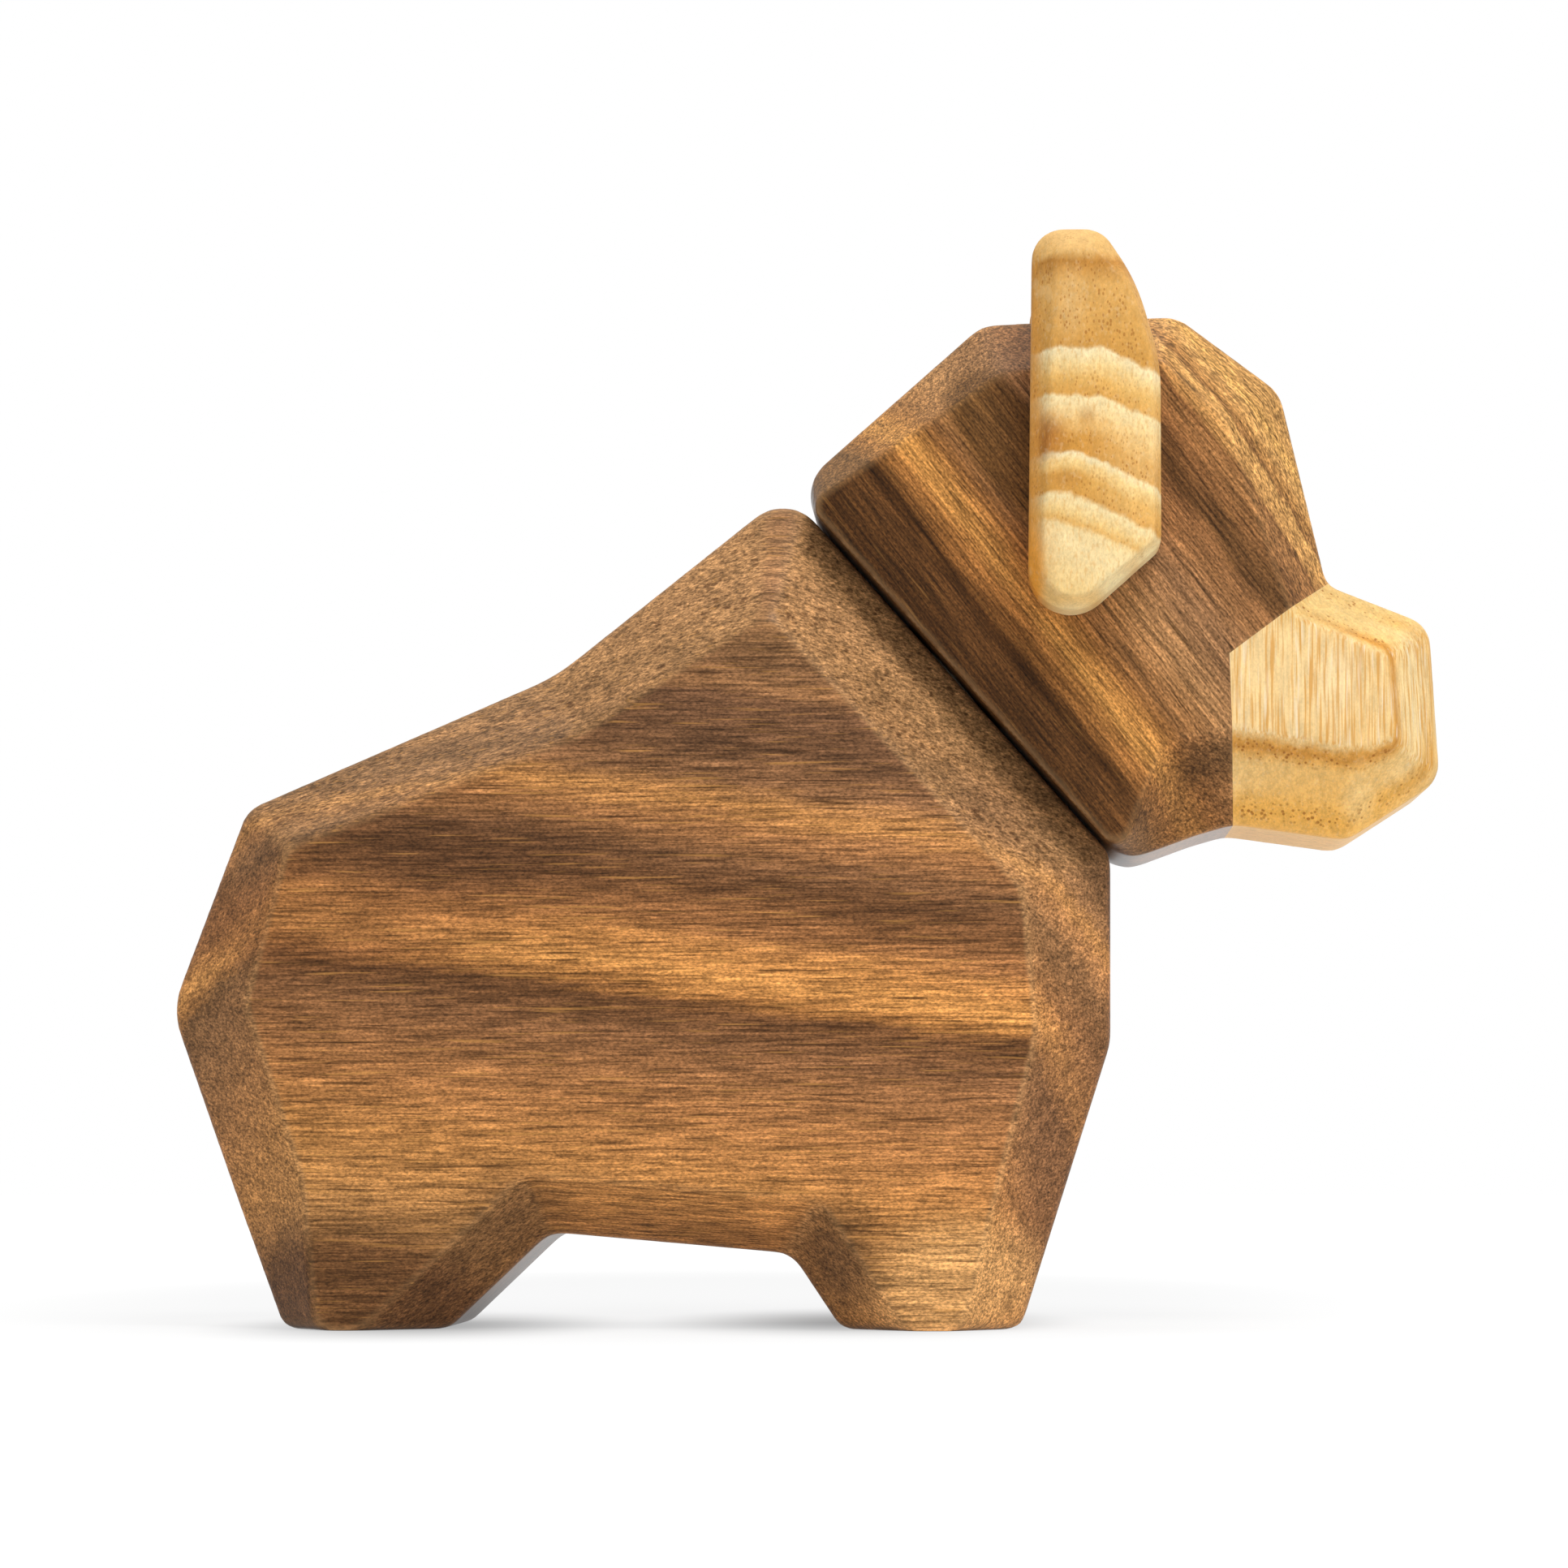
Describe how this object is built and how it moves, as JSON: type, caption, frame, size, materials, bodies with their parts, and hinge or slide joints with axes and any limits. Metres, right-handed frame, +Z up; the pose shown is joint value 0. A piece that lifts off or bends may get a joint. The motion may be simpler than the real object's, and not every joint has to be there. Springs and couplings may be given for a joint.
{
  "type": "cow figurine",
  "caption": "Standing cow figurine of bevelled hardwood blocks, with a pale muzzle, and a head and horns that turn and pull off on disc magnets.",
  "frame": {"origin": "on the floor, under the middle of the figurine", "axes": "+X from the rump to the muzzle, +Y to the figurine's left, +Z up"},
  "size_m": [0.1315, 0.0564, 0.1126],
  "materials": {
    "walnut": "sanded walnut, rubbed with oil",
    "ash": "sanded ash, rubbed with oil",
    "nickel": "bright nickel plating"
  },
  "bodies": {
    "torso": {"torso": "walnut", "torso_neck_magnet": "nickel"},
    "head_magnet": {"head_neck_magnet": "nickel"},
    "head": {"head": "walnut", "muzzle": "ash", "right_cheek_magnet": "nickel", "left_cheek_magnet": "nickel"},
    "right_horn_magnet": {"right_horn_magnet": "nickel"},
    "right_horn": {"right_horn": "ash"},
    "left_horn_magnet": {"left_horn_magnet": "nickel"},
    "left_horn": {"left_horn": "ash"}
  },
  "joints": [
    {"name": "head_pull_off", "type": "slide", "parent": "torso", "child": "head_magnet", "axis": [0.7501, 0, 0.6613], "range_m": [0, 0.05]},
    {"name": "head_swivel", "type": "hinge", "parent": "head_magnet", "child": "head", "pos_m": [0.01501, 0, 0.0683], "axis": [0.7501, 0, 0.6613], "continuous": true},
    {"name": "right_horn_pull_off", "type": "slide", "parent": "head", "child": "right_horn_magnet", "axis": [0, -1, 0], "range_m": [0, 0.03]},
    {"name": "right_horn_swivel", "type": "hinge", "parent": "right_horn_magnet", "child": "right_horn", "pos_m": [0.02992, -0.0191, 0.08957], "axis": [0, 1, 0], "continuous": true},
    {"name": "left_horn_pull_off", "type": "slide", "parent": "head", "child": "left_horn_magnet", "axis": [0, 1, 0], "range_m": [0, 0.03]},
    {"name": "left_horn_swivel", "type": "hinge", "parent": "left_horn_magnet", "child": "left_horn", "pos_m": [0.02992, 0.0191, 0.08957], "axis": [0, 1, 0], "continuous": true}
  ]
}
